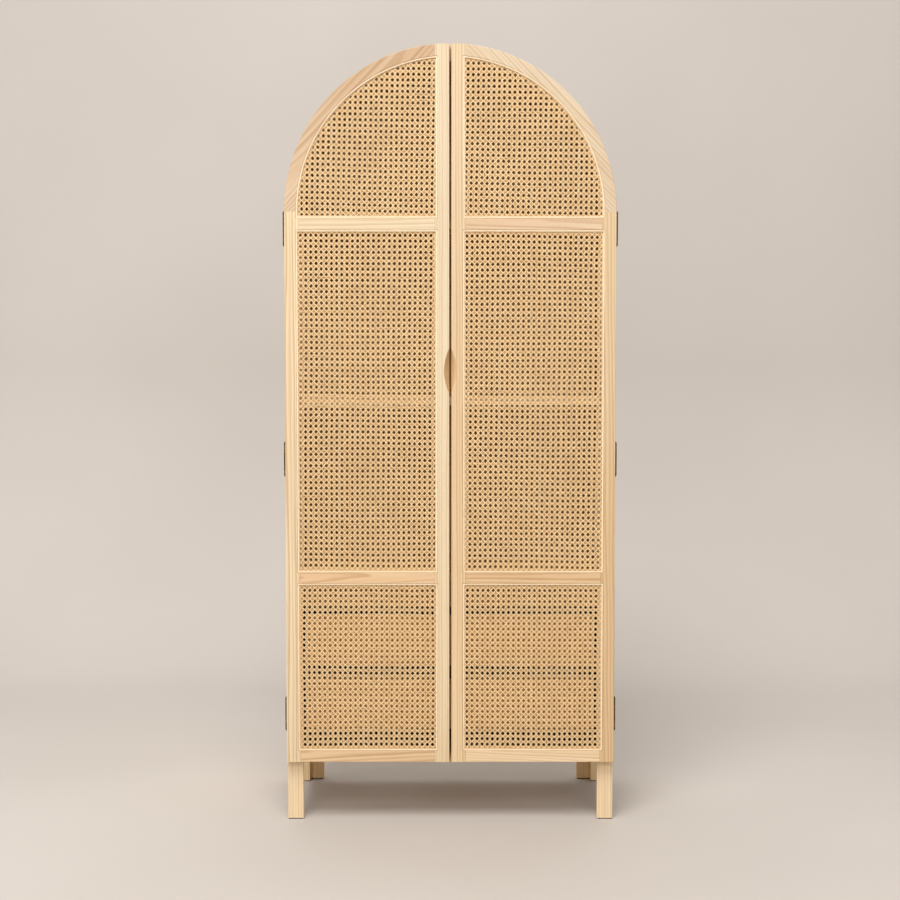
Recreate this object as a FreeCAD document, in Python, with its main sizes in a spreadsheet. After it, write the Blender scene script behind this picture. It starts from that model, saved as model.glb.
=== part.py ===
"""Arch-topped wardrobe with two cane-panelled doors.

Millimetres, +Z up. The origin is on the floor under the middle of the wardrobe, and the doors
face -Y. The right-hand pieces are drawn, and the left-hand ones are their mirror images.
"""
import FreeCAD
import Part
import Sketcher
import os
import re

SIZES = {
    "width": (780, "outside of one hinge stile to outside of the other"),
    "depth": (405, "door fronts to back of rear posts"),
    "spring_height": (1450, "floor to the line where the arch begins"),
    "ease": (1, "chamfer along the long edges of the solid-wood bars"),
    "joint_clearance": (0.15, "room on each side of a tenon, tongue or shelf end"),
    "door_bottom": (145, "floor to underside of doors"),
    "door_thickness": (22, "front to back of a door"),
    "door_gap": (2, "back of doors to front of posts"),
    "meeting_gap": (5, "between the two doors"),
    "stile_width": (34, "width of stiles and of the arch rail"),
    "bottom_rail_height": (34, "height of the bottom rail"),
    "middle_rail_height": (39, "height of the middle rail"),
    "middle_rail_level": (567, "floor to underside of the middle rail"),
    "upper_rail_height": (41, "height of the upper rail"),
    "upper_rail_drop": (8, "top of the upper rail below the spring line"),
    "tenon_length": (13, "how far a tenon enters its mortise"),
    "tenon_thickness": (8, "front to back of a tenon"),
    "tenon_shoulder": (8, "wood left above and below a tenon"),
    "foot_tenon_width": (11, "tenon at the foot of the arch rail, across"),
    "foot_tenon_gap": (4, "wood between that tenon and the upper rail's"),
    "rebate_width": (7, "ledge round each opening that carries the cane"),
    "rebate_depth": (5, "door front down to that ledge"),
    "cane_thickness": (1.6, "cane webbing, over the crossings"),
    "cane_clearance": (0.3, "edge of the webbing to the side of the rebate"),
    "spline_width": (4, "bead that holds the webbing, seen from the front"),
    "spline_height": (2.6, "bead that holds the webbing, front to back"),
    "pull_height": (1077, "floor to the middle of the finger pull"),
    "pull_length": (108, "tip to tip of the finger pull"),
    "pull_inset": (13, "widest bite of the finger pull into one stile"),
    "post_width": (37, "front posts, across the front"),
    "post_thickness": (20, "front posts, front to back"),
    "rear_strip_thickness": (21, "side leg of the rear posts' L, across"),
    "rear_strip_depth": (43, "side leg of the rear posts' L, front to back"),
    "rear_flange_width": (35, "back leg of the rear posts' L, beyond the side leg"),
    "rear_flange_thickness": (19, "back leg of the rear posts' L, front to back"),
    "glide_height": (2.5, "pads under the posts"),
    "glide_inset": (2, "edge of a post to edge of its pad"),
    "side_thickness": (12, "side panels and bent top panel"),
    "side_inset": (3, "side panels in from the outside of the posts"),
    "side_low": (133, "floor to underside of the side panels"),
    "tongue_depth": (8, "how far a panel enters the posts and ribs"),
    "dowel_radius": (4, "dowels between posts and ribs"),
    "dowel_depth": (22, "how far a dowel enters each piece"),
    "dowel_inset": (12, "inner side of a post to its dowel"),
    "back_thickness": (6, "back panel"),
    "shelf_thickness": (20, "shelves"),
    "dado_depth": (4, "how far a shelf end enters the side panel"),
    "middle_shelf_level": (996, "floor to underside of the middle shelf"),
    "bottom_board_level": (140, "floor to underside of the bottom board"),
    "bottom_board_thickness": (18, "bottom board"),
    "upper_drawer_level": (373, "floor to underside of the upper drawer front"),
    "lower_drawer_level": (219, "floor to underside of the lower drawer front"),
    "drawer_front_height": (120, "drawer fronts"),
    "drawer_front_thickness": (18, "drawer fronts, front to back"),
    "drawer_setback": (2, "front of posts to drawer fronts"),
    "drawer_gap": (9, "drawer front to post"),
    "apron_gap": (21, "top of the upper drawer front to the apron rail above it"),
    "drawer_box_gap": (13, "drawer side to post"),
    "drawer_side_thickness": (12, "drawer sides and backs"),
    "drawer_rear_gap": (26, "back of a drawer to the back panel"),
    "drawer_side_drop": (12, "top of a drawer front to top of its sides"),
    "drawer_bottom_lift": (8, "underside of drawer sides to drawer bottom"),
    "drawer_bottom_thickness": (6, "drawer bottoms"),
    "drawer_groove": (5, "how far a drawer bottom enters the walls"),
    "runner_drop": (18, "underside of a drawer front to top of its runners"),
    "runner_height": (16, "wooden drawer runners"),
    "hinge_drop": (38, "spring line down to the middle of the upper hinges"),
    "hinge_middle": (868, "floor to the middle of the middle hinges"),
    "hinge_rise": (112, "underside of doors up to the middle of the lower hinges"),
    "leaf_length": (66, "hinge leaves, up and down"),
    "leaf_width": (30, "hinge leaves, from the pin's middle"),
    "leaf_thickness": (1.6, "hinge leaves"),
    "leaf_spread": (0.4, "between the two leaves of a closed hinge"),
    "middle_knuckle": (32, "length of the door leaf's knuckle"),
    "knuckle_gap": (0.4, "between knuckles, and round them"),
    "barrel_radius": (2.6, "hinge knuckles"),
    "barrel_gap": (0.3, "side of the posts to the knuckles"),
    "pin_radius": (1.5, "hinge pins"),
    "pin_clearance": (0.05, "pin to knuckle"),
    "collar_length": (3, "plain collar of a hinge finial"),
    "finial_tip": (4.5, "pointed tip of a hinge finial, from the ball's middle"),
    "tip_radius": (1.6, "root of that tip"),
    "point_radius": (0.5, "end of that tip"),
    "screw_spacing": (23, "between the screws of a leaf"),
    "screw_line": (21, "pin's middle to the line of screws"),
    "screw_head_radius": (3.2, "countersunk screw heads"),
    "screw_head_depth": (2.2, "countersunk screw heads"),
    "screw_radius": (1.5, "screw shanks"),
    "screw_length": (14, "screws, head to point"),
    "screw_point": (4, "tapered end of a screw"),
    "catch_offset": (6, "middle of the wardrobe to a magnetic catch"),
    "catch_length": (30, "magnetic catches, across"),
    "catch_height": (14, "magnetic catches, up and down"),
    "catch_depth": (22, "magnetic catches, behind the front of the posts"),
    "catch_reach": (0.5, "magnetic catches, in front of the posts"),
    "strike_thickness": (1.2, "steel plates on the doors"),
    "strike_margin": (1, "edge of a catch to edge of its plate"),
}

doc = FreeCAD.newDocument("wardrobe")
sheet = doc.addObject("Spreadsheet::Sheet", "Sizes")
for row, (alias, (size, note)) in enumerate(SIZES.items(), start=1):
    sheet.set(f"A{row}", note)
    sheet.set(f"B{row}", str(size))
    sheet.setAlias(f"B{row}", alias)
doc.recompute()

ACROSS = FreeCAD.Vector(1, 0, 0)
UP = FreeCAD.Vector(0, 0, 1)
ALONG_Y = FreeCAD.Rotation(UP, FreeCAD.Vector(0, 1, 0))
TURNED = FreeCAD.Rotation(UP, 180)


def sized(text):
    """Point each size named in an expression at its cell."""
    return re.sub(r"[a-z][a-z_]+", lambda name: f"Sizes.{name[0]}" if name[0] in SIZES else name[0], text)


def bind(thing, path, text):
    thing.setExpression(path, sized(text))


def place(thing, x="0", y="0", z="0"):
    for axis, text in zip("xyz", (x, y, z)):
        bind(thing, f"Placement.Base.{axis}", text)
    return thing


def both(half_size):
    return f"-({half_size})", f"({half_size})"


def around(middle, half_size):
    return f"({middle}) - ({half_size})", f"({middle}) + ({half_size})"


def block(name, x, y, z):
    """A box between a low and a high plane on each axis."""
    box = doc.addObject("Part::Box", name)
    for side, (low, high) in zip(("Length", "Width", "Height"), (x, y, z)):
        bind(box, side, f"({high}) - ({low})")
    return place(box, x[0], y[0], z[0])


def rod(name, radius, length, x="0", y="0", z="0", turn=FreeCAD.Rotation()):
    """A cylinder that starts at a point and runs along Z, or along Z turned."""
    cylinder = doc.addObject("Part::Cylinder", name)
    cylinder.Placement = FreeCAD.Placement(FreeCAD.Vector(), turn)
    bind(cylinder, "Radius", radius)
    bind(cylinder, "Height", length)
    return place(cylinder, x, y, z)


def fuse(name, *things):
    union = doc.addObject("Part::MultiFuse", name)
    union.Shapes = list(things)
    union.Refine = True
    return union


def group(name, *things):
    """Separate solids under one name."""
    compound = doc.addObject("Part::Compound", name)
    compound.Links = list(things)
    return compound


def cut(name, base, *tools):
    difference = doc.addObject("Part::Cut", name)
    difference.Base = base
    difference.Tool = tools[0] if len(tools) == 1 else fuse(name + "_tools", *tools)
    return difference


def common(name, first, second):
    overlap = doc.addObject("Part::Common", name)
    overlap.Base = first
    overlap.Tool = second
    return overlap


def mirrored(name, source):
    reflection = doc.addObject("Part::Mirroring", name)
    reflection.Source = source
    reflection.Base = FreeCAD.Vector()
    reflection.Normal = ACROSS
    return reflection


def copies(name, source, spots):
    """Linked copies of one thing, as one group. A spot is three expressions."""
    links = []
    for count, spot in enumerate(spots, start=1):
        link = doc.addObject("App::Link", f"{name}_{count}")
        link.LinkedObject = source
        link.Placement = source.Placement
        links.append(place(link, *spot))
    return group(name, *links)


def outline(body, plane, corners):
    """A closed sketch on one of the body's own planes, with every corner bound."""
    sketch = body.newObject("Sketcher::SketchObject", body.Name + "_outline")
    support = next(face for face in body.Origin.OriginFeatures if face.Role == plane)
    sketch.AttachmentSupport = [(support, "")]
    sketch.MapMode = "FlatFace"
    spots = [FreeCAD.Vector(*(sheet.evalExpression(sized(text)) for text in corner)) for corner in corners]
    lines = [sketch.addGeometry(Part.LineSegment(*ends)) for ends in zip(spots, spots[1:] + spots[:1])]
    for before, line, corner in zip(lines[-1:] + lines, lines, corners):
        sketch.addConstraint(Sketcher.Constraint("Coincident", before, 2, line, 1))
        for direction, text in zip(("DistanceX", "DistanceY"), corner):
            distance = sheet.evalExpression(sized(text))
            bound = sketch.addConstraint(Sketcher.Constraint(direction, -1, 1, line, 1, distance))
            bind(sketch, f"Constraints[{bound}]", text)
    return sketch


def padded(name, plane, corners, length):
    """A body with one outline, padded away from the plane."""
    body = doc.addObject("PartDesign::Body", name)
    sketch = outline(body, plane, corners)
    pad = body.newObject("PartDesign::Pad", name + "_pad")
    pad.Profile = sketch
    bind(pad, "Length", length)
    return body


def turned(name, corners, angle):
    """A body with one outline, revolved about Y: from the right over the top, or all round."""
    body = doc.addObject("PartDesign::Body", name)
    sketch = outline(body, "XY_Plane", corners)
    ring = body.newObject("PartDesign::Revolution", name + "_ring")
    ring.Profile = sketch
    ring.ReferenceAxis = (sketch, ["V_Axis"])
    ring.Angle = angle
    ring.Reversed = True
    return body


def rectangle(first, second):
    (left, right), (low, high) = first, second
    return [(left, low), (right, low), (right, high), (left, high)]


def eased(first, second):
    """The section of a bar: a rectangle with its four corners chamfered."""
    (left, right), (low, high) = first, second
    return [
        (f"{left} + ease", low), (f"{right} - ease", low),
        (right, f"{low} + ease"), (right, f"{high} - ease"),
        (f"{right} - ease", high), (f"{left} + ease", high),
        (left, f"{high} - ease"), (left, f"{low} + ease"),
    ]


def arch_shape(name, radius, y, low):
    """A board with straight sides and a half-round top about the spring line."""
    thickness = f"({y[1]}) - ({y[0]})"
    head = rod(name + "_head", radius, thickness, y=y[0], z="spring_height", turn=ALONG_Y)
    return fuse(name, head, block(name + "_foot", both(radius), y, (low, "spring_height")))


# Planes that several pieces share
half = "width/2"
arch_top = f"(spring_height + {half})"
front = "(-depth/2)"
back = "(depth/2)"
door_back = f"({front} + door_thickness)"
post_front = f"({door_back} + door_gap)"
post_back = f"({post_front} + post_thickness)"
post_inner = f"({half} - post_width)"
strip_front = f"({back} - rear_strip_depth)"
strip_inner = f"({half} - rear_strip_thickness)"
flange_front = f"({back} - rear_flange_thickness)"
flange_inner = f"({strip_inner} - rear_flange_width)"
side_outer = f"({half} - side_inset)"
side_inner = f"({side_outer} - side_thickness)"
meeting_edge = "(meeting_gap/2)"
meeting_inner = f"({meeting_edge} + stile_width)"
hinge_inner = f"({half} - stile_width)"
upper_rail_top = "(spring_height - upper_rail_drop)"
rails = {
    "bottom": ("door_bottom", "(door_bottom + bottom_rail_height)"),
    "middle": ("middle_rail_level", "(middle_rail_level + middle_rail_height)"),
    "upper": (f"({upper_rail_top} - upper_rail_height)", upper_rail_top),
}
hinge_levels = {
    "upper": "spring_height - hinge_drop",
    "middle": "hinge_middle",
    "lower": "door_bottom + hinge_rise",
}
pieces = []


# Hinge screws: countersunk, with the head at the origin and the point towards -Y.
# Their room is the same shape grown by the clearance, and cuts the leaf and the wood.
hinge_x = f"({half} + barrel_gap + barrel_radius)"
hinge_y = f"({door_back} + door_gap/2)"
screw_x = f"{hinge_x} - screw_line"
leaf_screw = turned("leaf_screw", [
    ("0", "0"),
    ("screw_head_radius", "0"),
    ("screw_radius", "-screw_head_depth"),
    ("screw_radius", "screw_point - screw_length"),
    ("0", "-screw_length"),
], 360)
screw_room = turned("screw_room", [
    ("0", "joint_clearance"),
    ("screw_head_radius + joint_clearance", "joint_clearance"),
    ("screw_head_radius + joint_clearance", "0"),
    ("screw_radius + joint_clearance", "-screw_head_depth"),
    ("screw_radius + joint_clearance", "screw_point - screw_length"),
    ("0", "-screw_length - joint_clearance"),
], 360)
post_screw = copies("post_screw", leaf_screw, [("0", "0", "0")])
post_screw.Placement = FreeCAD.Placement(FreeCAD.Vector(), TURNED)
post_screw_room = copies("post_screw_room", screw_room, [("0", "0", "0")])
post_screw_room.Placement = FreeCAD.Placement(FreeCAD.Vector(), TURNED)
screw_heights = ("-screw_spacing", "0", "screw_spacing")
every_height = [f"{level} + {height}" for level in hinge_levels.values() for height in screw_heights]


def leaf_plate(name, y, knuckles):
    """One hinge leaf about height 0: its plate, and a tab and a barrel for each knuckle."""
    x = (f"{hinge_x} - leaf_width", f"{hinge_x} - barrel_radius - knuckle_gap")
    solids = [block(name + "_plate", x, y, both("leaf_length/2"))]
    for count, (low, high) in enumerate(knuckles, start=1):
        solids.append(block(f"{name}_tab_{count}", (x[1], hinge_x), y, (low, high)))
        height = f"({high}) - ({low})"
        solids.append(rod(f"{name}_barrel_{count}", "barrel_radius", height, hinge_x, hinge_y, low))
    return fuse(name, *solids)


# Hinge leaves, three to a side. The door leaf has the middle knuckle, the post leaf the outer two.
door_leaf_face = f"({hinge_y} - leaf_spread/2)"
door_leaf_seat = f"({door_leaf_face} - leaf_thickness)"
post_leaf_face = f"({hinge_y} + leaf_spread/2)"
post_leaf_seat = f"({post_leaf_face} + leaf_thickness)"
outer_knuckle = ("middle_knuckle/2 + knuckle_gap", "leaf_length/2")
lower_knuckle = ("-leaf_length/2", "-middle_knuckle/2 - knuckle_gap")
bore = rod("bore", "pin_radius + pin_clearance", "leaf_length", hinge_x, hinge_y, "-leaf_length/2")
door_leaf = cut(
    "door_leaf",
    leaf_plate("door_leaf_blank", (door_leaf_seat, door_leaf_face), [both("middle_knuckle/2")]),
    bore,
    copies("door_leaf_holes", screw_room, [(screw_x, door_leaf_face, z) for z in screw_heights]),
)
post_leaf = cut(
    "post_leaf",
    leaf_plate("post_leaf_blank", (post_leaf_face, post_leaf_seat), [outer_knuckle, lower_knuckle]),
    bore,
    copies("post_leaf_holes", post_screw_room, [(screw_x, post_leaf_face, z) for z in screw_heights]),
)
at_hinges = [("0", "0", level) for level in hinge_levels.values()]
door_leaves = copies("right_hinge_door_leaves", door_leaf, at_hinges)
post_leaves = copies("right_hinge_post_leaves", post_leaf, at_hinges)
door_screw_spots = [(screw_x, door_leaf_face, z) for z in every_height]
post_screw_spots = [(screw_x, post_leaf_face, z) for z in every_height]
door_screws = copies("right_hinge_door_screws", leaf_screw, door_screw_spots)
post_screws = copies("right_hinge_post_screws", post_screw, post_screw_spots)
pieces += [post_leaves, mirrored("left_hinge_post_leaves", post_leaves)]
pieces.append(group("hinge_post_screws", post_screws, mirrored("left_hinge_post_screws", post_screws)))


# Hinge pins, each with a collar, a ball and a pointed tip at both ends
def finial(name, sign):
    collar_start = "leaf_length/2 + knuckle_gap"
    ball_middle = f"({collar_start} + collar_length + barrel_radius/2)"
    collar_low = collar_start if sign == "" else f"-({collar_start} + collar_length)"
    collar = rod(name + "_collar", "barrel_radius", "collar_length", hinge_x, hinge_y, collar_low)
    ball = doc.addObject("Part::Sphere", name + "_ball")
    bind(ball, "Radius", "barrel_radius")
    place(ball, hinge_x, hinge_y, f"{sign}{ball_middle}")
    tip = doc.addObject("Part::Cone", name + "_tip")
    bind(tip, "Radius1", "tip_radius" if sign == "" else "point_radius")
    bind(tip, "Radius2", "point_radius" if sign == "" else "tip_radius")
    bind(tip, "Height", "finial_tip")
    place(tip, hinge_x, hinge_y, ball_middle if sign == "" else f"-{ball_middle} - finial_tip")
    return [collar, ball, tip]


shaft_end = "(leaf_length/2 + knuckle_gap + collar_length)"
shaft = rod("shaft", "pin_radius", f"2*{shaft_end}", hinge_x, hinge_y, f"-{shaft_end}")
hinge_pin = fuse("hinge_pin", shaft, *finial("upper_finial", ""), *finial("lower_finial", "-"))
right_pins = copies("right_hinge_pins", hinge_pin, at_hinges)
pieces.append(group("hinge_pins", right_pins, mirrored("left_hinge_pins", right_pins)))


def leaf_recesses(name, y):
    """Shallow seats for the three hinge leaves, open towards the side."""
    x = (f"{hinge_x} - leaf_width - joint_clearance", hinge_x)
    return [
        block(f"{name}_{place_name}", x, y, around(level, "leaf_length/2 + joint_clearance"))
        for place_name, level in hinge_levels.items()
    ]


# Door openings. Each is one outline, grown for the rebate, the webbing and the spline.
openings = {
    "lower": (rails["bottom"][1], rails["middle"][0]),
    "middle": (rails["middle"][1], rails["upper"][0]),
    "upper": (rails["upper"][1], arch_top),
}


def opening_shape(name, opening, grow, y):
    low, high = openings[opening]
    x = (f"{meeting_inner} - ({grow})", f"{hinge_inner} + ({grow})")
    board = block(name + "_board", x, y, (f"{low} - ({grow})", f"{high} + ({grow})"))
    if opening != "upper":
        return board
    return common(name, board, arch_shape(name + "_arch", x[1], y, "door_bottom"))


def door_piece(name, shape):
    """Keep a right-door piece under its name, and its mirror image for the left door."""
    shape.Label = f"right_{name}"
    pieces.extend([shape, mirrored(f"left_{name}", shape)])


rebate_floor = f"({front} + rebate_depth)"
cane_face = f"({rebate_floor} - cane_thickness)"
spline_face = f"({cane_face} - spline_height)"
door_y = (front, door_back)
rebate = fuse("rebate", *(
    opening_shape(f"{opening}_rebate", opening, "rebate_width", (f"{front} - rebate_depth", rebate_floor))
    for opening in openings
))

# Cane panels lie on the rebate's ledge, and a spline on each holds its edge down
cane_edge = "rebate_width - cane_clearance"
cane_y = (cane_face, rebate_floor)
spline_y = (spline_face, cane_face)
for opening in openings:
    door_piece(f"{opening}_cane", opening_shape(f"{opening}_cane", opening, cane_edge, cane_y))
    door_piece(f"{opening}_spline", cut(
        f"{opening}_spline",
        opening_shape(f"{opening}_spline_outer", opening, cane_edge, spline_y),
        opening_shape(f"{opening}_spline_inner", opening, f"{cane_edge} - spline_width", spline_y),
    ))

# Rails, tenoned into the stiles at both ends
tenon_y = around(f"({front} + door_thickness/2)", "tenon_thickness/2")
mortise_y = around(f"({front} + door_thickness/2)", "tenon_thickness/2 + joint_clearance")
hinge_mortises = []
meeting_mortises = []
for rail, (low, high) in rails.items():
    name = f"{rail}_rail"
    bar = padded(f"{name}_bar", "YZ_Plane", eased(door_y, (low, high)), f"{hinge_inner} - {meeting_inner}")
    place(bar, x=meeting_inner)
    tenon_z = (f"{low} + tenon_shoulder", f"{high} - tenon_shoulder")
    tenon_x = (f"{meeting_inner} - tenon_length", f"{hinge_inner} + tenon_length")
    tenons = block(f"{name}_tenons", tenon_x, tenon_y, tenon_z)
    door_piece(name, cut(f"{name}_cut", fuse(f"{name}_blank", bar, tenons), rebate))
    mortise_z = (f"{tenon_z[0]} - joint_clearance", f"{tenon_z[1]} + joint_clearance")
    hinge_end = (hinge_inner, f"{tenon_x[1]} + joint_clearance")
    meeting_end = (f"{tenon_x[0]} - joint_clearance", meeting_inner)
    hinge_mortises.append(block(f"{name}_hinge_mortise", hinge_end, mortise_y, mortise_z))
    meeting_mortises.append(block(f"{name}_meeting_mortise", meeting_end, mortise_y, mortise_z))

# Arch rail: a quarter ring from the hinge stile's top to the meeting stile, with a tenon at each end
arch_ring = place(turned("arch_ring", eased((hinge_inner, half), door_y), 90), z="spring_height")
trim = block("arch_trim", ("0", meeting_inner), door_y, ("spring_height", arch_top))
foot_x = (f"{hinge_inner} + rebate_width", f"{hinge_inner} + rebate_width + foot_tenon_width")
foot_low = f"({upper_rail_top} - tenon_shoulder + foot_tenon_gap)"
head_z = (f"spring_height + {hinge_inner} + tenon_shoulder", f"{arch_top} - tenon_shoulder")
foot_tenon = block("arch_foot_tenon", foot_x, tenon_y, (foot_low, "spring_height"))
head_tenon = block("arch_head_tenon", (f"{meeting_inner} - tenon_length", meeting_inner), tenon_y, head_z)
arch_quarter = cut("arch_quarter", arch_ring, trim, rebate)
door_piece("arch_rail", fuse("arch_rail_fuse", arch_quarter, foot_tenon, head_tenon))
hinge_mortises.append(block(
    "arch_foot_mortise",
    (f"{foot_x[0]} - joint_clearance", f"{foot_x[1]} + joint_clearance"),
    mortise_y,
    (f"{foot_low} - joint_clearance", "spring_height"),
))
meeting_mortises.append(block(
    "arch_head_mortise",
    (f"{meeting_inner} - tenon_length - joint_clearance", meeting_inner),
    mortise_y,
    (f"{head_z[0]} - joint_clearance", f"{head_z[1]} + joint_clearance"),
))

# Hinge stile, seated for the hinge leaves at the back
hinge_bar = padded(
    "hinge_bar", "XY_Plane", eased((hinge_inner, half), door_y), "spring_height - door_bottom"
)
place(hinge_bar, z="door_bottom")
door_piece("hinge_stile", cut(
    "hinge_stile_cut",
    hinge_bar,
    rebate,
    *hinge_mortises,
    *leaf_recesses("stile_recess", (door_leaf_seat, post_front)),
    copies("stile_screw_holes", screw_room, door_screw_spots),
))

# Meeting stile: it runs to the top of the arch, and half of the finger pull is scooped out of it.
# The scoop is a wide cylinder that lies across the front edge at 45 degrees.
meeting_bar = padded(
    "meeting_bar", "XY_Plane", eased((meeting_edge, meeting_inner), door_y), f"{arch_top} - door_bottom"
)
place(meeting_bar, z="door_bottom")
door_arch = arch_shape("door_arch", half, door_y, "door_bottom")
pull_bite = "(pull_inset/sqrt(2))"
pull_radius = f"((pull_length^2/4 + {pull_bite}^2)/(2*{pull_bite}))"
pull_offset = f"(({pull_radius} - {pull_bite})/sqrt(2))"
pull_turn = FreeCAD.Rotation(UP, FreeCAD.Vector(-1, 1, 0))
pull_reach = "(2*pull_inset)"
pull_start = f"({pull_reach}/sqrt(2))"
pull = rod(
    "pull", pull_radius, f"2*{pull_reach}",
    f"{meeting_edge} - {pull_offset} + {pull_start}",
    f"{front} - {pull_offset} - {pull_start}",
    "pull_height",
    turn=pull_turn,
)
meeting_arched = common("meeting_stile_arched", meeting_bar, door_arch)
door_piece("meeting_stile", cut("meeting_stile_cut", meeting_arched, rebate, *meeting_mortises, pull))

# Door leaves of the hinges, their screws, and the strike plate of the catch
door_piece("hinge_door_leaves", door_leaves)
door_piece("hinge_door_screws", door_screws)
upper_rail_middle = f"({upper_rail_top} - upper_rail_height/2)"
top_shelf_level = f"({upper_rail_middle} - shelf_thickness/2)"
catch_low = f"({top_shelf_level} - catch_height)"
door_piece("strike_plate", block(
    "strike_plate_block",
    ("catch_offset + strike_margin", "catch_offset + catch_length - strike_margin"),
    (door_back, f"{door_back} + strike_thickness"),
    (f"{catch_low} + strike_margin", f"{top_shelf_level} - strike_margin"),
))


def both_sides(name, shape):
    """Keep a right-hand piece of the carcass under its name, and its mirror image."""
    shape.Label = name.format(side="right")
    pieces.extend([shape, mirrored(name.format(side="left"), shape)])


# Room that the side panels and the bent top panel take in the posts and ribs
room_x = (f"{side_inner} - joint_clearance", f"{side_outer} + joint_clearance")
panel_y = (f"{post_back} - tongue_depth", f"{strip_front} + tongue_depth")
top_y = (f"{post_back} - tongue_depth", f"{flange_front} + tongue_depth")
panel_room = block(
    "panel_room",
    room_x,
    (f"{panel_y[0]} - joint_clearance", f"{panel_y[1]} + joint_clearance"),
    ("side_low - joint_clearance", arch_top),
)
top_room_y = (f"{top_y[0]} - joint_clearance", f"{top_y[1]} + joint_clearance")
top_room = place(turned("top_room", rectangle(room_x, top_room_y), 180), z="spring_height")

# Dowels between posts and ribs, and the holes that they stand in
dowel_spots = {
    "front": (f"{post_inner} + dowel_inset", f"{post_front} + post_thickness/2"),
    "rear": (f"{flange_inner} + dowel_inset", f"{flange_front} + rear_flange_thickness/2"),
}
dowels = []
dowel_holes = {}
for end, (x, y) in dowel_spots.items():
    dowels.append(rod(f"{end}_dowel", "dowel_radius", "2*dowel_depth", x, y, "spring_height - dowel_depth"))
    hole = rod(
        f"{end}_dowel_hole", "dowel_radius + joint_clearance", "2*(dowel_depth + joint_clearance)",
        x, y, "spring_height - dowel_depth - joint_clearance",
    )
    dowel_holes[end] = [hole, mirrored(f"{end}_dowel_hole_left", hole)]
right_dowels = group("right_dowels", *dowels)
pieces.append(group("rib_dowels", right_dowels, mirrored("left_dowels", right_dowels)))

# Front posts, which stand behind the hinge stiles and end in the front legs
post_y = (post_front, post_back)
post_bar = padded("post_bar", "XY_Plane", eased((post_inner, half), post_y), "spring_height - glide_height")
place(post_bar, z="glide_height")
both_sides("front_{side}_post", cut(
    "front_post_cut",
    post_bar,
    panel_room,
    dowel_holes["front"][0],
    *leaf_recesses("post_recess", (door_back, post_leaf_seat)),
    copies("post_screw_holes", post_screw_room, post_screw_spots),
))

# Rear posts: a side leg and a back leg in an L, which end in the rear legs
rear_corner = [
    (half, strip_front), (half, back), (flange_inner, back),
    (flange_inner, flange_front), (strip_inner, flange_front), (strip_inner, strip_front),
]
rear_bar = padded("rear_bar", "XY_Plane", rear_corner, "spring_height - glide_height")
place(rear_bar, z="glide_height")
both_sides("rear_{side}_post", cut("rear_post_cut", rear_bar, panel_room, dowel_holes["rear"][0]))

# Pads under the posts
glide_z = ("0", "glide_height")


def glide(name, x, y):
    inner_x = (f"{x[0]} + glide_inset", f"{x[1]} - glide_inset")
    inner_y = (f"{y[0]} + glide_inset", f"{y[1]} - glide_inset")
    return block(name, inner_x, inner_y, glide_z)


right_glides = group(
    "right_glides",
    glide("front_glide", (post_inner, half), post_y),
    glide("strip_glide", (strip_inner, half), (strip_front, back)),
    glide("flange_glide", (flange_inner, strip_inner), (flange_front, back)),
)
pieces.append(group("foot_glides", right_glides, mirrored("left_glides", right_glides)))

# Shelves and bottom board: notched round the posts, with their ends housed in the side panels
shelf_end = f"({side_inner} + dado_depth - joint_clearance)"
shelf_nose = f"({post_inner} - joint_clearance)"
shelf_tail = f"({strip_inner} - joint_clearance)"
shelf_back = f"({flange_front} - back_thickness - joint_clearance)"
shelf_right = [
    (shelf_nose, post_front), (shelf_nose, f"{post_back} + joint_clearance"),
    (shelf_end, f"{post_back} + joint_clearance"), (shelf_end, f"{strip_front} - joint_clearance"),
    (shelf_tail, f"{strip_front} - joint_clearance"), (shelf_tail, shelf_back),
]
shelf_left = [(f"-{x}", y) for x, y in reversed(shelf_right)]
boards = {
    "top_shelf": (top_shelf_level, "shelf_thickness"),
    "middle_shelf": ("middle_shelf_level", "shelf_thickness"),
    "lower_shelf": ("(middle_rail_level + middle_rail_height/2 - shelf_thickness/2)", "shelf_thickness"),
    "bottom_board": ("bottom_board_level", "bottom_board_thickness"),
}
dados = []
for name, (level, thickness) in boards.items():
    pieces.append(place(padded(name, "XY_Plane", shelf_right + shelf_left, thickness), z=level))
    dados.append(block(
        f"{name}_dado",
        (side_inner, f"{side_inner} + dado_depth"),
        (post_back, strip_front),
        (f"{level} - joint_clearance", f"{level} + {thickness} + joint_clearance"),
    ))

# Side panels, tongued into the posts
side_board = block("side_board", (side_inner, side_outer), panel_y, ("side_low", "spring_height"))
both_sides("{side}_side_panel", cut("side_panel_cut", side_board, *dados))

# Arch: a front and a rear rib on the posts, and the bent panel between them
front_ring = place(turned("front_ring", eased((post_inner, half), post_y), 180), z="spring_height")
rear_ring_y = (flange_front, back)
rear_ring = place(turned("rear_ring", eased((flange_inner, half), rear_ring_y), 180), z="spring_height")
pieces.append(cut("front_arch_rib", front_ring, top_room, *dowel_holes["front"]))
pieces.append(cut("rear_arch_rib", rear_ring, top_room, *dowel_holes["rear"]))
top_ring = turned("arch_top_panel", rectangle((side_inner, side_outer), top_y), 180)
pieces.append(place(top_ring, z="spring_height"))

# Back panel, in the corner of the rear posts and against the rear rib
back_y = (f"{flange_front} - back_thickness", flange_front)
pieces.append(arch_shape("back_panel", f"{strip_inner} - joint_clearance", back_y, "bottom_board_level"))

# Apron rail under the lower shelf, in line with the drawer fronts
drawer_face = f"({post_front} + drawer_setback)"
drawer_start = f"({drawer_face} + drawer_front_thickness)"
pieces.append(block(
    "apron_rail",
    both(shelf_nose),
    (drawer_face, drawer_start),
    ("upper_drawer_level + drawer_front_height + apron_gap", boards["lower_shelf"][0]),
))

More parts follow.
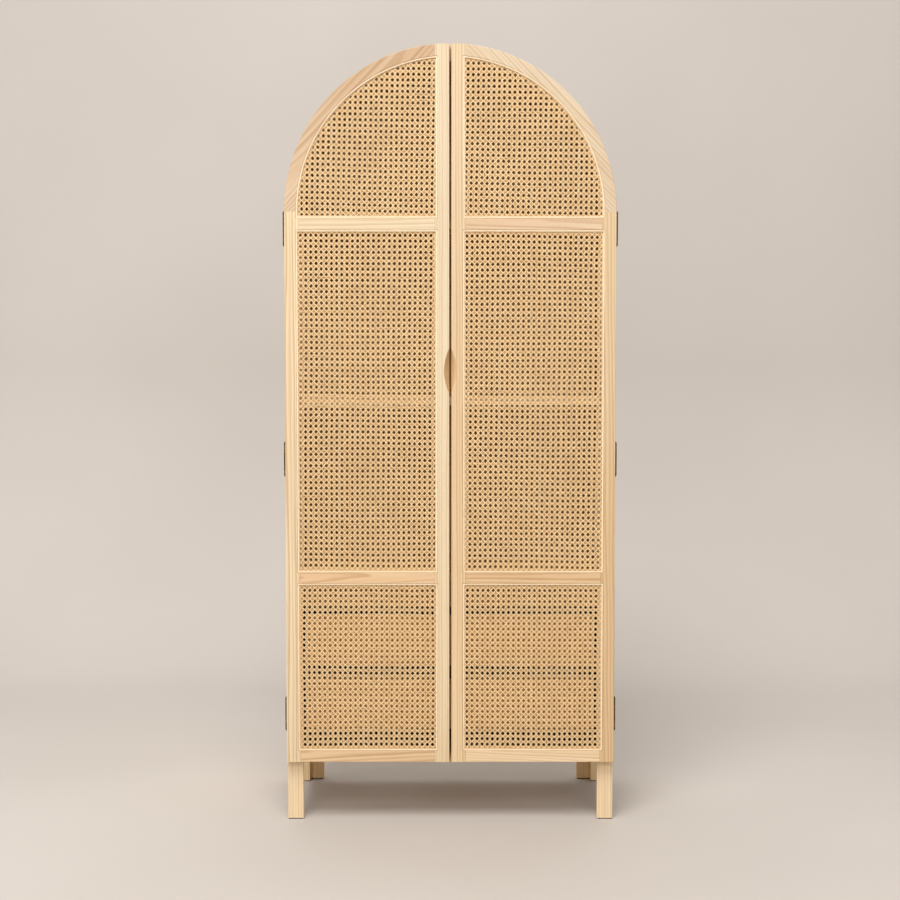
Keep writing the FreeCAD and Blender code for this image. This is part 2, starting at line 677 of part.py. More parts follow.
# Drawers: front, walls and bottom. They stand on wooden runners that are fixed to the side panels.
drawer_end = f"({back_y[0]} - drawer_rear_gap)"
drawer_back = f"({drawer_end} - drawer_side_thickness)"
box_outer = f"({post_inner} - drawer_box_gap)"
box_inner = f"({box_outer} - drawer_side_thickness)"
runners = []
for drawer in ("upper", "lower"):
    level = f"{drawer}_drawer_level"
    runner_top = f"({level} + runner_drop)"
    wall_z = (runner_top, f"{level} + drawer_front_height - drawer_side_drop")
    floor_low = f"({runner_top} + drawer_bottom_lift)"
    floor_high = f"({floor_low} + drawer_bottom_thickness)"
    groove = block(
        f"{drawer}_drawer_groove",
        both(f"{box_inner} + drawer_groove"),
        (f"{drawer_start} - drawer_groove", f"{drawer_back} + drawer_groove"),
        (f"{floor_low} - joint_clearance", f"{floor_high} + joint_clearance"),
    )
    drawer_board = block(
        f"{drawer}_drawer_board",
        both(f"{post_inner} - drawer_gap"),
        (drawer_face, drawer_start),
        (level, f"{level} + drawer_front_height"),
    )
    pieces.append(cut(f"{drawer}_drawer_front", drawer_board, groove))
    side = cut(
        f"{drawer}_drawer_right_side",
        block(f"{drawer}_drawer_side_board", (box_inner, box_outer), (drawer_start, drawer_end), wall_z),
        groove,
    )
    rear = cut(
        f"{drawer}_drawer_back",
        block(f"{drawer}_drawer_back_board", both(box_inner), (drawer_back, drawer_end), wall_z),
        groove,
    )
    pieces.append(group(f"{drawer}_drawer_walls", side, mirrored(f"{drawer}_drawer_left_side", side), rear))
    entry = "(drawer_groove - joint_clearance)"
    pieces.append(block(
        f"{drawer}_drawer_bottom",
        both(f"{box_inner} + {entry}"),
        (f"{drawer_start} - {entry}", f"{drawer_back} + {entry}"),
        (floor_low, floor_high),
    ))
    runner = block(
        f"{drawer}_runner",
        (box_inner, side_inner),
        (post_back, strip_front),
        (f"{runner_top} - runner_height", runner_top),
    )
    runners += [runner, mirrored(f"{drawer}_runner_left", runner)]
pieces.append(group("drawer_runners", *runners))

# Magnetic catches, under the front edge of the top shelf
right_catch = block(
    "right_catch",
    ("catch_offset", "catch_offset + catch_length"),
    (f"{post_front} - catch_reach", f"{post_front} + catch_depth"),
    (catch_low, top_shelf_level),
)
pieces.append(group("magnetic_catches", right_catch, mirrored("left_catch", right_catch)))

doc.recompute()
broken = [thing.Label for thing in doc.Objects if {"Invalid", "Error"} & set(thing.State)]
if broken:
    raise RuntimeError(f"these objects failed: {broken}")
for piece in pieces:
    if piece.Shape.isNull() or not piece.Shape.isValid() or not piece.Shape.Solids:
        raise RuntimeError(f"{piece.Label} has no valid solid")
os.makedirs("parts", exist_ok=True)
for piece in pieces:
    piece.Shape.exportStep(f"parts/{piece.Label}.step")
    box = piece.Shape.BoundBox
    size = f"{box.XLength:.1f} x {box.YLength:.1f} x {box.ZLength:.1f}"
    print(f"{piece.Label}: {len(piece.Shape.Solids)} solids, {size}")
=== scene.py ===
"""Looks for the arch-topped cane wardrobe. Metres, +Z up, the doors face -Y."""
import math
import random

import bpy
from mathutils import Euler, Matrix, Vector


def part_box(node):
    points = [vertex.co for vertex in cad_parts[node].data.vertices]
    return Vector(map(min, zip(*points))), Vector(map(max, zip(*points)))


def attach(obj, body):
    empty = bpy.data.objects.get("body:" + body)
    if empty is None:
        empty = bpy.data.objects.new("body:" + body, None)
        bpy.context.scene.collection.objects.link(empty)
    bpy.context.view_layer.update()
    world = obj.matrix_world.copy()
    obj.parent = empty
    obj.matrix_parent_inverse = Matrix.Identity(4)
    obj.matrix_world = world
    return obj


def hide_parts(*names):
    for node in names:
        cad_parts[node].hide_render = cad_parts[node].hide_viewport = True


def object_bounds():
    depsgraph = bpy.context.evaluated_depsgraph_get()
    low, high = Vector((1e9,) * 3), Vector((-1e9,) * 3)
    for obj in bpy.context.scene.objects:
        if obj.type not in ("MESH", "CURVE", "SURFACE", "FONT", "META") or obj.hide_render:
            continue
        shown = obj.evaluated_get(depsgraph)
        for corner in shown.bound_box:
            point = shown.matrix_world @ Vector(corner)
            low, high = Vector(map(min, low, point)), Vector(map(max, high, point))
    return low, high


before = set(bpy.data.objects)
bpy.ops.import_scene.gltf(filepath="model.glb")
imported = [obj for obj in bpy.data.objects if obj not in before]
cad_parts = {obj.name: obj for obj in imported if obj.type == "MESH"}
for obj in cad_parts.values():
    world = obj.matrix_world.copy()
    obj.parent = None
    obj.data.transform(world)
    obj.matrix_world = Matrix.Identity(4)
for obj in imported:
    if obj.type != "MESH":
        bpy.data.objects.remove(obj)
cad_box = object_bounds()


# Front and rear posts: straight bars of pale ash that end in the legs, planed, sanded and
# given a clear matt lacquer. Growth rings lie round a pith line outside the bar, so that
# each face shows the stripes that it would have in a real board.
def node(tree, kind, inputs=None, **options):
    """One shader node. Inputs are values or sockets, by name or by number."""
    made = tree.nodes.new("ShaderNode" + kind)
    for option, value in options.items():
        setattr(made, option, value)
    for socket, value in (inputs or {}).items():
        if isinstance(value, bpy.types.NodeSocket):
            tree.links.new(value, made.inputs[socket])
        else:
            made.inputs[socket].default_value = value
    return made


def reckon(tree, operation, *values):
    return node(tree, "Math", dict(enumerate(values)), operation=operation).outputs[0]


def steer(tree, operation, first, second):
    return node(tree, "VectorMath", {0: first, 1: second}, operation=operation).outputs["Vector"]


def scaled(tree, vector, amount):
    return node(tree, "VectorMath", {0: vector, "Scale": amount}, operation="SCALE").outputs["Vector"]


def reach_of(tree, vector):
    return node(tree, "VectorMath", {0: vector}, operation="LENGTH").outputs["Value"]


def split(tree, vector):
    return node(tree, "SeparateXYZ", {0: vector}).outputs


def blend(tree, share, first, second, way="MIX"):
    mix = node(tree, "Mix", {0: share, 6: first, 7: second}, data_type="RGBA", blend_type=way)
    return mix.outputs[2]


def ramp(tree, value, low, high, bottom=0.0, top=1.0):
    """Smoothly from bottom to top while value goes from low to high."""
    limits = {"Value": value, "From Min": low, "From Max": high, "To Min": bottom, "To Max": top}
    return node(tree, "MapRange", limits, interpolation_type="SMOOTHSTEP").outputs["Result"]


def clouds(tree, spot, scale, detail=2.0, roughness=0.5):
    """Soft noise, with scale in waves per metre."""
    inputs = {"Vector": spot, "Scale": scale, "Detail": detail, "Roughness": roughness}
    return node(tree, "TexNoise", inputs).outputs


def new_group(name, inputs, outputs):
    """An empty node group, its input sockets and its output sockets."""
    group = bpy.data.node_groups.new(name, "ShaderNodeTree")
    for in_out, sockets in (("INPUT", inputs), ("OUTPUT", outputs)):
        for socket, kind in sockets.items():
            group.interface.new_socket(socket, in_out=in_out, socket_type="NodeSocket" + kind)
    given = group.nodes.new("NodeGroupInput").outputs
    return group, given, group.nodes.new("NodeGroupOutput").inputs


def grow_ash():
    """Rings round the Z axis, with late wood as a thin darker line, and fine fibres along Z.
    The noises are stretched along the fibres, so that they change slowly that way."""
    tree, given, result = new_group(
        "ash_grain",
        {
            "Spot": "Vector", "Lean": "Vector", "Seed": "Vector",
            "Pale": "Color", "Blush": "Color", "Line": "Color",
            "Ring width": "Float", "Line strength": "Float", "Wander": "Float",
        },
        {"Color": "Color", "Roughness": "Float", "Height": "Float"},
    )
    sway_scale = 9.0
    sway_stretch = (1.0, 1.0, 0.14)
    uneven_scale = 55.0
    uneven_rings = 1.2
    streak_scale = 34.0
    streak_stretch = (1.0, 1.0, 0.05)
    fibre_scale = 850.0
    fibre_stretch = (1.0, 1.0, 0.018)
    line_depth = 0.5
    spot = given["Spot"]
    seeded = steer(tree, "ADD", spot, given["Seed"])

    # The pith line sways and leans along the board, and the rings round it are uneven in width.
    sway = clouds(tree, steer(tree, "MULTIPLY", seeded, sway_stretch), sway_scale)["Color"]
    sway = scaled(tree, steer(tree, "SUBTRACT", sway, (0.5, 0.5, 0.5)), given["Wander"])
    lean = scaled(tree, given["Lean"], split(tree, spot)["Z"])
    bent = steer(tree, "ADD", steer(tree, "ADD", spot, sway), lean)
    radius = reach_of(tree, steer(tree, "MULTIPLY", bent, (1.0, 1.0, 0.0)))
    drawn = steer(tree, "MULTIPLY", seeded, streak_stretch)
    uneven = reckon(tree, "MULTIPLY", clouds(tree, drawn, uneven_scale)["Fac"], uneven_rings)
    rings = reckon(tree, "ADD", reckon(tree, "DIVIDE", radius, given["Ring width"]), uneven)

    # Late wood darkens towards the end of a ring, in some seasons more than in others.
    part = reckon(tree, "FRACT", rings)
    season = node(tree, "TexWhiteNoise", {"W": reckon(tree, "FLOOR", rings)}, noise_dimensions="1D")
    season = ramp(tree, season.outputs["Value"], 0.0, 1.0, bottom=0.2)
    ring_end = ramp(tree, part, 0.92, 1.0, bottom=1.0, top=0.0)
    late = reckon(tree, "MULTIPLY", ramp(tree, part, 0.25, 0.9), ring_end)
    late = reckon(tree, "MULTIPLY", late, season)

    # Warmer streaks, then the lines of late wood, broken up by the fibres that shade it all.
    fibre = steer(tree, "MULTIPLY", seeded, fibre_stretch)
    fibre = clouds(tree, fibre, fibre_scale, detail=3.0, roughness=0.65)["Fac"]
    streak = ramp(tree, clouds(tree, drawn, streak_scale, detail=3.0)["Fac"], 0.3, 0.72)
    colour = blend(tree, streak, given["Pale"], given["Blush"])
    share = reckon(tree, "MULTIPLY", late, given["Line strength"])
    share = reckon(tree, "MULTIPLY", share, ramp(tree, fibre, 0.2, 0.75, bottom=0.55))
    colour = blend(tree, share, colour, given["Line"])
    colour = scaled(tree, colour, ramp(tree, fibre, 0.25, 0.75, bottom=0.93, top=1.03))
    height = reckon(tree, "SUBTRACT", fibre, reckon(tree, "MULTIPLY", late, line_depth))
    sheen = ramp(tree, fibre, 0.2, 0.8, bottom=0.44, top=0.6)
    tree.links.new(colour, result["Color"])
    tree.links.new(sheen, result["Roughness"])
    tree.links.new(height, result["Height"])
    return tree


ash_grain = grow_ash()
grain_depth = 0.0004
quarter = math.pi / 2
grain_turns = {
    "up": Euler((0, 0, 0)),
    "across": Euler((0, -quarter, 0)),
    "deep": Euler((quarter, 0, 0)),
    "rising": Euler((0, -quarter / 2, 0)),
    "falling": Euler((0, quarter / 2, 0)),
}
seeds = random.Random(7)


def principled(name):
    """A new material, its node tree and its shader."""
    material = bpy.data.materials.new(name)
    material.use_nodes = True
    return material, material.node_tree, material.node_tree.nodes["Principled BSDF"]


def finish(tree, shader, colour, roughness, height, relief, depth):
    """Wire a colour and a roughness into a material, and a relief of a depth in metres."""
    bump = node(tree, "Bump", {"Height": height, "Strength": relief, "Distance": depth})
    tree.links.new(colour, shader.inputs["Base Color"])
    tree.links.new(roughness, shader.inputs["Roughness"])
    tree.links.new(bump.outputs["Normal"], shader.inputs["Normal"])


def wear(tree, shader, group, values, relief, depth):
    """Finish a material with what a node group makes of the values."""
    worn = node(tree, "Group", values, node_tree=group).outputs
    finish(tree, shader, worn["Color"], worn["Roughness"], worn["Height"], relief, depth)


def wear_ash(tree, shader, spot, tones, lean, ring_width, line_strength, wander, relief):
    """Give a material a board of its own, from a spot whose Z runs along the fibres."""
    pale, blush, line = tones
    seed = Vector((seeds.uniform(0, 9), seeds.uniform(0, 9), seeds.uniform(0, 9)))
    wear(tree, shader, ash_grain, {
        "Spot": spot, "Lean": (*lean, 0.0), "Seed": seed,
        "Pale": (*pale, 1.0), "Blush": (*blush, 1.0), "Line": (*line, 1.0),
        "Ring width": ring_width, "Line strength": line_strength, "Wander": wander,
    }, relief, grain_depth)


def dress(material, *names):
    """Give a material to CAD pieces."""
    for name in names:
        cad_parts[name].material_slots[0].material = material


def timber(name, grain, tones, pith=(0.09, 0.03), lean=(0.0, 0.0), ring_width=0.006,
           line_strength=0.45, wander=0.008, relief=0.25):
    """Give a CAD piece its own board of ash. Pith is the line that its rings go round, seen from
    the middle of the piece, and lean is how much that line drifts along the piece."""
    low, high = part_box(name)
    turn = grain_turns[grain]
    start = Vector((*pith, 0.0)) - turn.to_matrix() @ ((low + high) / 2)
    material, tree, shader = principled(f"{name}_ash")
    place = node(tree, "TexCoord").outputs["Object"]
    spot = node(tree, "Mapping", {"Vector": place, "Rotation": turn, "Location": start}).outputs[0]
    wear_ash(tree, shader, spot, tones, lean, ring_width, line_strength, wander, relief)
    dress(material, name)


def ash(red, green, blue):
    """Tones of one board: early wood, a warmer streak, and the lines of late wood."""
    pale = Vector((red, green, blue))
    return pale, pale * Vector((0.93, 0.87, 0.81)), pale * Vector((0.62, 0.48, 0.34))


leg_tones = ash(0.88, 0.70, 0.46)
# The rear posts take a warmer, more saturated copy of the leg ash, partly painted shade for their
# flanges under the cabinet.
rear_tones = ash(0.93, 0.70, 0.40)
timber("front_left_post", "up", leg_tones, pith=(0.07, 0.06), line_strength=0.6)
timber("front_right_post", "up", leg_tones, pith=(-0.08, 0.05), lean=(0.004, 0.0), line_strength=0.6)
timber("rear_left_post", "up", rear_tones, pith=(0.06, 0.09))
timber("rear_right_post", "up", rear_tones, pith=(-0.05, 0.08))


# Arch ribs, side panels and bent top panel: the ribs are laminated round the arch and doweled
# to the posts, and the thin panels slide into grooves. The panels' ash is darkened to brown,
# painted shade for the inside of the wardrobe, and their outer faces are tinted back to pale
# ash. The grain of the bent pieces follows the bend.
def bent_timber(name, tones, pith, ring_width, line_strength, wander, relief=0.25):
    """Like timber, but with the fibres running round the arch."""
    spring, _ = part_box("rear_arch_rib")
    low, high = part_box(name)
    reach = high.x
    material, tree, shader = principled(f"{name}_ash")
    place = node(tree, "TexCoord").outputs["Object"]
    centred = steer(tree, "SUBTRACT", place, (0.0, (low.y + high.y) / 2, spring.z))
    axes = split(tree, centred)
    radius = reach_of(tree, steer(tree, "MULTIPLY", centred, (1.0, 0.0, 1.0)))
    turn = reckon(tree, "ARCTAN2", axes["Z"], axes["X"])
    spot = node(tree, "CombineXYZ", {
        "X": reckon(tree, "ADD", reckon(tree, "SUBTRACT", radius, reach), pith[0]),
        "Y": reckon(tree, "ADD", axes["Y"], pith[1]),
        "Z": reckon(tree, "MULTIPLY", turn, reach),
    }).outputs[0]
    wear_ash(tree, shader, spot, tones, (0.0, 0.0), ring_width, line_strength, wander, relief)
    dress(material, name)


def make_outer_face():
    """Tints the side of a panel that looks away from the middle of the wardrobe back to pale ash,
    so that the painted shade stays on the inside faces.
    """
    tree, given, result = new_group(
        "outer_face",
        {"Color": "Color", "Place": "Vector", "Facing": "Vector", "Middle": "Vector", "Tint": "Color"},
        {"Color": "Color"},
    )
    away = steer(tree, "SUBTRACT", given["Place"], given["Middle"])
    outward = node(tree, "VectorMath", {0: given["Facing"], 1: away}, operation="DOT_PRODUCT")
    outside = reckon(tree, "GREATER_THAN", outward.outputs["Value"], 0.0)
    tree.links.new(blend(tree, outside, given["Color"], given["Tint"], "MULTIPLY"), result["Color"])
    return tree


def overlay(name, group, values):
    """Lay a tint over a piece's finish. A value that is a word names a texture coordinate."""
    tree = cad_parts[name].material_slots[0].material.node_tree
    paint = tree.nodes["Principled BSDF"].inputs["Base Color"]
    place = node(tree, "TexCoord").outputs
    inputs = {key: place[value] if isinstance(value, str) else value for key, value in values.items()}
    inputs["Color"] = paint.links[0].from_socket
    tree.links.new(node(tree, "Group", inputs, node_tree=group).outputs["Color"], paint)


# The front rib takes a darker copy of the ash, painted shade where it shows behind the doors, in the
# gap between their tops and through the cane along the arch.
shaded_rib_tones = ash(0.68, 0.48, 0.26)
# Ash darkened to brown: painted shade for the inside of the wardrobe.
shaded_panel_tones = ((0.55, 0.33, 0.12), (0.49, 0.28, 0.09), (0.37, 0.19, 0.05))
bent_timber("front_arch_rib", shaded_rib_tones, pith=(0.02, 0.05), ring_width=0.004,
            line_strength=0.5, wander=0.004)
bent_timber("rear_arch_rib", leg_tones, pith=(0.03, 0.06), ring_width=0.004,
            line_strength=0.5, wander=0.004)
bent_timber("arch_top_panel", shaded_panel_tones, pith=(0.04, 0.02), ring_width=0.007,
            line_strength=0.4, wander=0.02)
timber("left_side_panel", "up", shaded_panel_tones, pith=(0.05, 0.02), lean=(0.01, 0.0),
       ring_width=0.008, line_strength=0.4, wander=0.03)
timber("right_side_panel", "up", shaded_panel_tones, pith=(-0.05, 0.03), lean=(-0.01, 0.0),
       ring_width=0.008, line_strength=0.4, wander=0.03)
outer_face = make_outer_face()
pale_facing = (1.42, 1.78, 2.9, 1.0)
cabinet_middle = (cad_box[0] + cad_box[1]) / 2
for panel in ("arch_top_panel", "left_side_panel", "right_side_panel"):
    overlay(panel, outer_face, {
        "Place": "Object", "Facing": "Normal", "Middle": cabinet_middle, "Tint": pale_facing,
    })
timber("rib_dowels", "up", shaded_panel_tones)


# Back panel, bottom board and shelves: ash-faced board, lacquered like the rest. The shelves
# are housed in the side panels, and the back lies in the corner of the rear posts. All but the
# middle shelf take the darkened tones, painted shade for the inside of the wardrobe.
shelf_tones = ash(0.78, 0.58, 0.34)
timber("back_panel", "up", shaded_panel_tones, pith=(0.03, 0.04), lean=(0.005, 0.01),
       ring_width=0.009, line_strength=0.35, wander=0.04)
board_tones = {
    "bottom_board": shaded_panel_tones, "lower_shelf": shaded_panel_tones,
    "top_shelf": shaded_panel_tones, "middle_shelf": shelf_tones,
}
for board, tones in board_tones.items():
    timber(board, "across", tones, pith=(0.03, 0.02), lean=(0.0, 0.01),
           ring_width=0.007, line_strength=0.4, wander=0.02)


# Drawers, their runners and the apron rail above them: bare sanded wood, with a ply bottom in a
# groove. They stand behind the lower cane, and only the apron and the fronts show through it.
# Their wood is darkened to brown as painted shade, and the apron is darker still as the painted
# shadow of the middle rails of the doors.
shaded_drawer_tones = ((0.52, 0.30, 0.105), (0.465, 0.255, 0.083), (0.36, 0.185, 0.05))
shaded_apron_tones = ((0.43, 0.245, 0.087), (0.38, 0.205, 0.068), (0.295, 0.147, 0.039))
sanded = 0.4
timber("apron_rail", "across", shaded_apron_tones, pith=(0.03, 0.04), lean=(-0.01, 0.0),
       ring_width=0.007, line_strength=0.4, wander=0.02)
for level in ("upper", "lower"):
    timber(f"{level}_drawer_front", "across", shaded_drawer_tones, pith=(0.02, 0.04), lean=(0.01, 0.0),
           ring_width=0.007, line_strength=0.4, wander=0.02)
    timber(f"{level}_drawer_walls", "deep", shaded_drawer_tones, pith=(0.05, 0.03),
           ring_width=0.005, relief=sanded)
    timber(f"{level}_drawer_bottom", "across", shaded_panel_tones, pith=(0.02, 0.01),
           ring_width=0.008, relief=sanded)
timber("drawer_runners", "deep", shaded_drawer_tones, pith=(0.04, 0.03), ring_width=0.005, relief=sanded)


# Glides and catches: six thin moulded pads under the posts, dark and slightly scuffed, and two
# magnetic catches in brown plastic that are screwed under the front of the top shelf.
def make_moulded_skin():
    """Matt plastic with a fine spark-eroded texture and a faint drift in tone."""
    tree, given, result = new_group(
        "moulded_skin",
        {"Place": "Vector", "Dark": "Color", "Light": "Color", "Mattness": "Float"},
        {"Color": "Color", "Roughness": "Float", "Height": "Float"},
    )
    pit_scale = 2600.0
    drift_scale = 60.0
    scuffing = 0.08
    pits = clouds(tree, given["Place"], pit_scale)["Fac"]
    drift = ramp(tree, clouds(tree, given["Place"], drift_scale)["Fac"], 0.3, 0.7)
    smoothest = reckon(tree, "SUBTRACT", given["Mattness"], scuffing)
    roughest = reckon(tree, "ADD", given["Mattness"], scuffing)
    tree.links.new(blend(tree, drift, given["Dark"], given["Light"]), result["Color"])
    tree.links.new(ramp(tree, pits, 0.3, 0.7, bottom=smoothest, top=roughest), result["Roughness"])
    tree.links.new(pits, result["Height"])
    return tree


def mould(name, dark, light, mattness):
    """Give a CAD piece a plastic of its own."""
    material, tree, shader = principled(f"{name}_plastic")
    place = node(tree, "TexCoord").outputs["Object"]
    values = {"Place": place, "Dark": (*dark, 1.0), "Light": (*light, 1.0), "Mattness": mattness}
    wear(tree, shader, moulded_skin, values, relief=0.2, depth=0.0001)
    dress(material, name)


moulded_skin = make_moulded_skin()
mould("foot_glides", dark=(0.028, 0.020, 0.014), light=(0.05, 0.036, 0.026), mattness=0.6)
mould("magnetic_catches", dark=(0.20, 0.11, 0.05), light=(0.26, 0.15, 0.07), mattness=0.5)


# Door frames: stiles and rails of solid ash, mortised and tenoned flush, with the arch rail
# sawn in one piece from a board that lies along its chord. No two boards match in tone, and
# four long ones are tinted from one tone at the foot to another at the head.
timber("left_hinge_stile", "up", ash(0.80, 0.64, 0.42), pith=(0.06, 0.07), lean=(0.003, 0.0),
       ring_width=0.0058, line_strength=0.9, wander=0.012)
timber("right_hinge_stile", "up", ash(0.72, 0.53, 0.315), pith=(0.035, 0.05), lean=(0.008, 0.004),
       line_strength=0.9, wander=0.014)
timber("left_meeting_stile", "up", ash(0.78, 0.65, 0.45), pith=(0.10, 0.04), line_strength=0.6)
timber("right_meeting_stile", "up", ash(0.77, 0.59, 0.375), pith=(-0.09, 0.05), lean=(0.002, 0.0),
       line_strength=0.8)
timber("left_arch_rail", "rising", ash(0.61, 0.445, 0.285), pith=(0.05, 0.05), lean=(0.03, 0.02),
       ring_width=0.008, line_strength=0.8, wander=0.035)
timber("right_arch_rail", "falling", ash(0.66, 0.53, 0.37), pith=(0.05, 0.05), lean=(-0.02, 0.02),
       ring_width=0.008, line_strength=0.7, wander=0.02)
timber("left_upper_rail", "across", ash(0.76, 0.63, 0.43), pith=(0.02, 0.04), lean=(0.02, 0.0),
       line_strength=0.6, wander=0.012)
timber("right_upper_rail", "across", ash(0.70, 0.52, 0.345), pith=(0.015, 0.04), lean=(-0.03, 0.0),
       line_strength=0.8, wander=0.014)
timber("left_middle_rail", "across", ash(0.78, 0.56, 0.335), pith=(0.005, 0.03), lean=(0.05, 0.03),
       line_strength=0.8, wander=0.016)
timber("right_middle_rail", "across", ash(0.74, 0.53, 0.31), pith=(0.02, 0.04), lean=(-0.04, 0.02),
       line_strength=0.9, wander=0.012)
timber("left_bottom_rail", "across", ash(0.77, 0.56, 0.34), pith=(0.02, 0.04), lean=(0.04, 0.0),
       line_strength=0.9, wander=0.012)
timber("right_bottom_rail", "across", ash(0.85, 0.66, 0.43), pith=(0.03, 0.03), lean=(-0.06, 0.02),
       line_strength=0.7, wander=0.012)


def make_board_drift():
    """Tints a long board slowly, from one tone at its foot to another at its head."""
    tree, given, result = new_group(
        "board_drift",
        {
            "Color": "Color", "Place": "Vector", "Foot": "Float", "Head": "Float",
            "Foot tint": "Color", "Head tint": "Color",
        },
        {"Color": "Color"},
    )
    share = ramp(tree, split(tree, given["Place"])["Z"], given["Foot"], given["Head"])
    tone = blend(tree, share, given["Foot tint"], given["Head tint"])
    tree.links.new(blend(tree, 1.0, given["Color"], tone, "MULTIPLY"), result["Color"])
    return tree


board_drift = make_board_drift()
drifts = {
    "left_arch_rail": ((1.09, 1.15, 1.22, 1.0), (0.93, 0.89, 0.84, 1.0)),
    "right_hinge_stile": ((0.97, 0.93, 0.87, 1.0), (1.01, 1.08, 1.16, 1.0)),
    "left_meeting_stile": ((1.01, 0.97, 0.91, 1.0), (0.95, 0.97, 1.01, 1.0)),
    "right_meeting_stile": ((1.03, 1.02, 0.97, 1.0), (0.93, 0.94, 0.96, 1.0)),
}
for board, (foot_tint, head_tint) in drifts.items():
    low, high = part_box(board)
    overlay(board, board_drift, {
        "Place": "Object", "Foot": low.z, "Head": high.z,
        "Foot tint": foot_tint, "Head tint": head_tint,
    })


# Finger pull: a scoop that is routed out of both meeting stiles, half in each. Inside it the
# wood is darkened as painted shade, more in the left half, which faces away from the light.
pull_centre = 1.077
pull_half_length = 0.056
pull_half_width = 0.0165
pull_rim = 0.0003
pull_lean = -0.3


def make_scoop_shade():
    """Painted shade in the scoop: darkens wood behind the stile's face, inside the scoop, facing
    forward.
    """
    tree, given, result = new_group(
        "painted_scoop_shade",
        {"Color": "Color", "Place": "Vector", "Facing": "Vector", "Face": "Float", "Shade tint": "Color"},
        {"Color": "Color"},
    )
    axes = split(tree, given["Place"])
    up = reckon(tree, "ABSOLUTE", reckon(tree, "SUBTRACT", axes["Z"], pull_centre))
    across = reckon(tree, "ABSOLUTE", axes["X"])
    forward = split(tree, given["Facing"])["Y"]
    # Mask of the painted shade: wood behind the face, inside the scoop, facing forward.
    routed = ramp(tree, reckon(tree, "SUBTRACT", axes["Y"], given["Face"]), pull_rim, 4 * pull_rim)
    for value, limit in ((up, pull_half_length), (across, pull_half_width), (forward, pull_lean)):
        routed = reckon(tree, "MULTIPLY", routed, reckon(tree, "LESS_THAN", value, limit))
    tree.links.new(blend(tree, routed, given["Color"], given["Shade tint"], "MULTIPLY"), result["Color"])
    return tree


painted_scoop_shade = make_scoop_shade()
# The left door's half of the scoop is darkened more than the right's, as painted shade.
scoop_shade_tones = {
    "left_meeting_stile": (0.74, 0.58, 0.40, 1.0),
    "right_meeting_stile": (0.93, 0.86, 0.74, 1.0),
}
for stile, scoop_shade in scoop_shade_tones.items():
    low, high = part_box(stile)
    overlay(stile, painted_scoop_shade, {
        "Place": "Object", "Facing": "Normal", "Face": low.y, "Shade tint": scoop_shade,
    })


# Cane webbing: six-way weave of split rattan skin, as sold by the roll. Upright and level
# strands run in pairs, and two slanting strands go over one pair and under the next, which
# leaves eight-sided holes. Each panel is pressed into its rebate under the spline.
column_step = 0.01223
row_step = 0.01322
pair_width = 0.0014
pair_spread = 0.00102
# The pairs are browner than the slants, partly as lower-grade strands and partly as painted shade
# where they lie behind the slants.
pair_tones = (0.4, 0.65)
painted_knot_shading = 0.35
slant_width = 0.0019
slant_tones = (0.85, 1.0)
strand_thickness = 0.0005
strand_section = ((-0.5, -0.4), (0.0, 0.6), (0.5, -0.4))
strand_edge = math.radians(80)
lift = 0.0005
plateau = 0.13
jitter = 0.00016
wobble_sizes = (0.0001, 0.0003)
wobble_paces = (30, 90)
width_spread = (0.9, 1.1)
stretch_size = 0.0005
stretch_paces = (7, 22)
phases = (0, 6.3)
spare_lines = 2
shortest_run = 0.004
nearest_station = 0.03
first_holes = {
    "left_upper": (-0.3547, 1.7999), "left_middle": (-0.3516, 1.3961), "left_lower": (-0.3468, 0.5569),
    "right_upper": (0.0542, 1.7944), "right_middle": (0.0512, 1.3933), "right_lower": (0.0527, 0.5567),
}
web_turns = {
    "left_upper": 0.019, "left_middle": 0.0046, "left_lower": 0.0025,
    "right_upper": 0.0154, "right_middle": 0.0077, "right_lower": 0.003,
}


def inside_panel(start, way, low, high, centre, radius):
    """The stretch of a straight line that lies in a box and in a disc, if any, in steps of way."""
    first, last = -math.inf, math.inf
    for at, step, floor, ceiling in zip(start, way, low, high):
        if abs(step) < 1e-9:
            if not floor <= at <= ceiling:
                return None
            continue
        ends = sorted(((floor - at) / step, (ceiling - at) / step))
        first, last = max(first, ends[0]), min(last, ends[1])
    if radius:
        offset = (start[0] - centre[0], start[1] - centre[1])
        square = way[0] ** 2 + way[1] ** 2
        middle = -(offset[0] * way[0] + offset[1] * way[1]) / square
        rest = radius ** 2 - (offset[0] + way[0] * middle) ** 2 - (offset[1] + way[1] * middle) ** 2
        if rest <= 0:
            return None
        reach = math.sqrt(rest / square)
        first, last = max(first, middle - reach), min(last, middle + reach)
    return (first, last) if last - first > shortest_run else None


